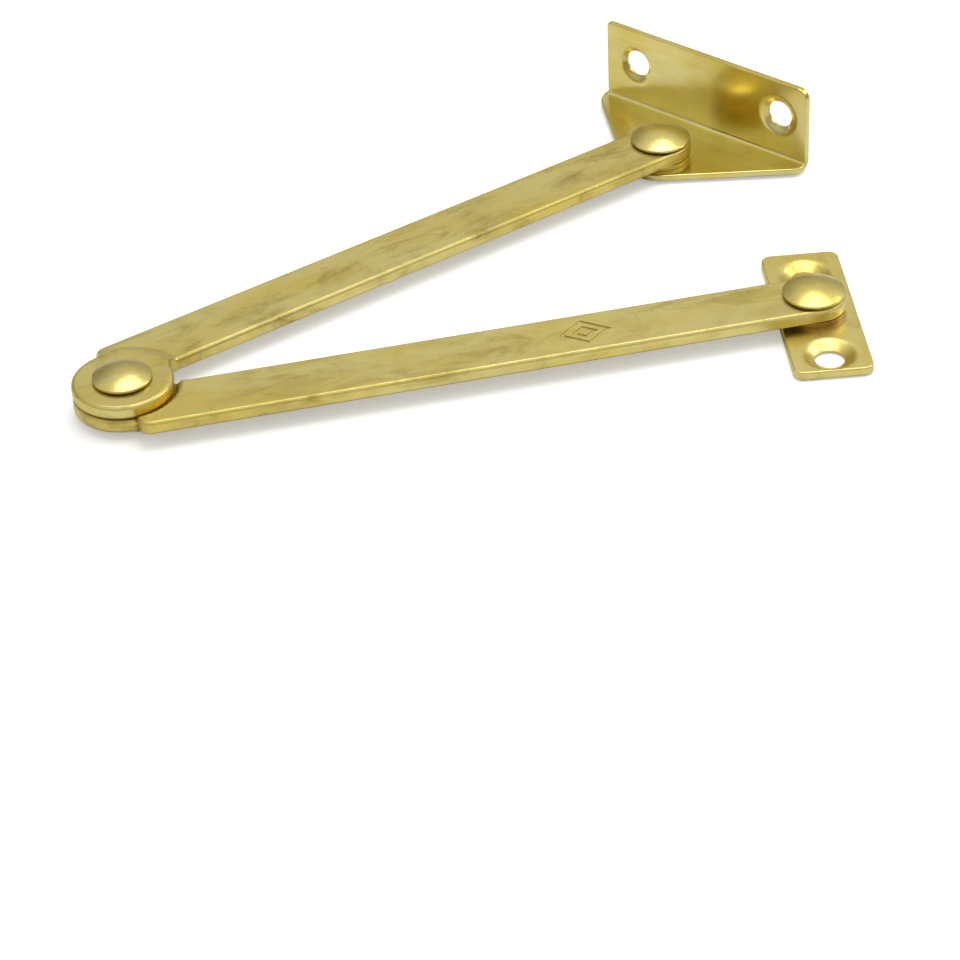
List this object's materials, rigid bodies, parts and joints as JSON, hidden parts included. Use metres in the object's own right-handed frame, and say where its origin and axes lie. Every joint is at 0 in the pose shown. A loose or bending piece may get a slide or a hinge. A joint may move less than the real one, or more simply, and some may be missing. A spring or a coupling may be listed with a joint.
{
  "type": "friction stay hinge",
  "caption": "Folding friction stay: two flat arms riveted at a knuckle, with a flat screw plate on one end and a right-angle screw bracket on the other.",
  "frame": {"origin": "midway between the side plate's two screw holes, on its mounting face; the plate's middle is 1 mm to the +Y side, and so is the rivet that joins it to the lower arm, which is also 0.5 mm to the -X side", "axes": "+X across the side plate's width, +Y along the side plate's length, +Z along the rivets, from the mounting face towards the rivet heads"},
  "size_m": [0.1362, 0.1037, 0.017],
  "materials": {
    "arm_brass": "satin electro-brassed pressed steel",
    "bracket_brass": "semi-bright electro-brassed pressed steel",
    "plate_brass": "semi-bright electro-brassed pressed steel",
    "rivet_brass": "bright brassed rivet",
    "friction_washer": "plain bronze friction washer, oiled"
  },
  "bodies": {
    "plate": {"side_plate": "plate_brass", "plate_rivet": "rivet_brass", "plate_washer": "friction_washer"},
    "lower_arm": {"lower_arm": "arm_brass", "knuckle_rivet": "rivet_brass", "knuckle_washer": "friction_washer"},
    "upper_arm": {"upper_arm": "arm_brass"},
    "bracket": {"angle_bracket": "bracket_brass", "bracket_rivet": "rivet_brass", "bracket_washer": "friction_washer"}
  },
  "joints": [
    {"name": "plate_pivot", "type": "hinge", "parent": "plate", "child": "lower_arm", "pos_m": [-0.0005, 0.001, 0.00385], "axis": [0, 0, 1], "range_deg": [-90, 90]},
    {"name": "knuckle", "type": "hinge", "parent": "lower_arm", "child": "upper_arm", "pos_m": [-0.12026, -0.00907, 0.00385], "axis": [0, 0, 1], "range_deg": [-13, 168]},
    {"name": "bracket_pivot", "type": "hinge", "parent": "upper_arm", "child": "bracket", "pos_m": [-0.01969, 0.05674, 0.00385], "axis": [0, 0, 1], "range_deg": [-120, 90]}
  ]
}
